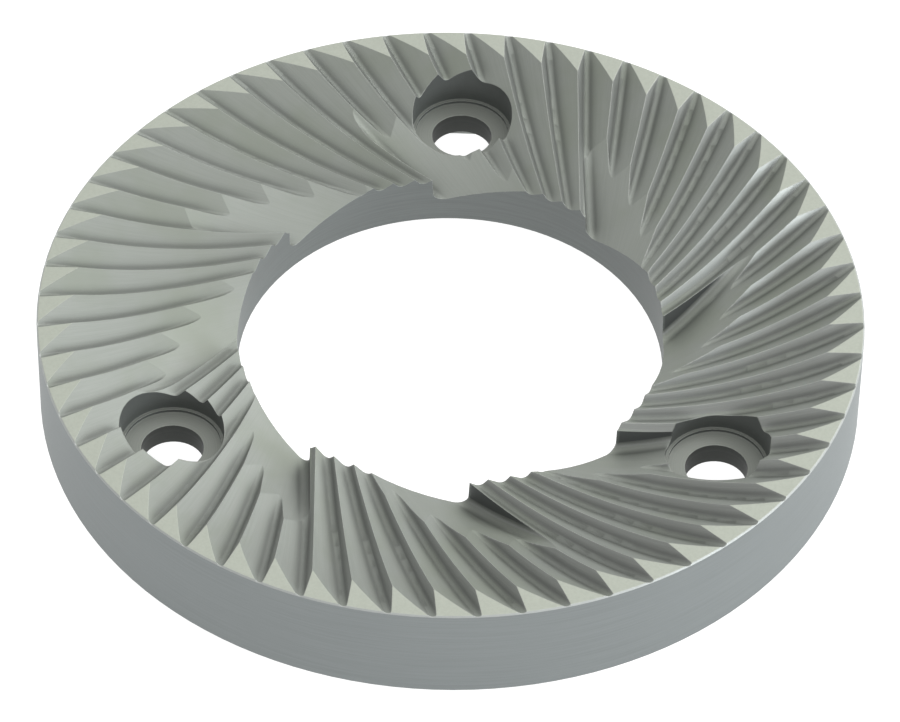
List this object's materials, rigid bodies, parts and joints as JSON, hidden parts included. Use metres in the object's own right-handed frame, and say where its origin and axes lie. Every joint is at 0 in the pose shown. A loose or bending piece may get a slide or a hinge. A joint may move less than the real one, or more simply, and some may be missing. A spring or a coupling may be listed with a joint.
{
  "type": "flat grinding burr",
  "caption": "Flat ring-shaped steel grinding burr with slanted teeth on one face, feed pockets at the bore and counterbored screw holes.",
  "frame": {"origin": "centre of the ring on the plane of its back seating rim", "axes": "+Z along the ring's axis, out of the toothed face; +Y through one screw hole"},
  "size_m": [0.064, 0.064, 0.0084],
  "materials": {
    "hardened_steel": "ground matte tool steel, paler on the lapped tooth tips"
  },
  "bodies": {
    "root": {"grinding_burr": "hardened_steel"}
  },
  "joints": []
}
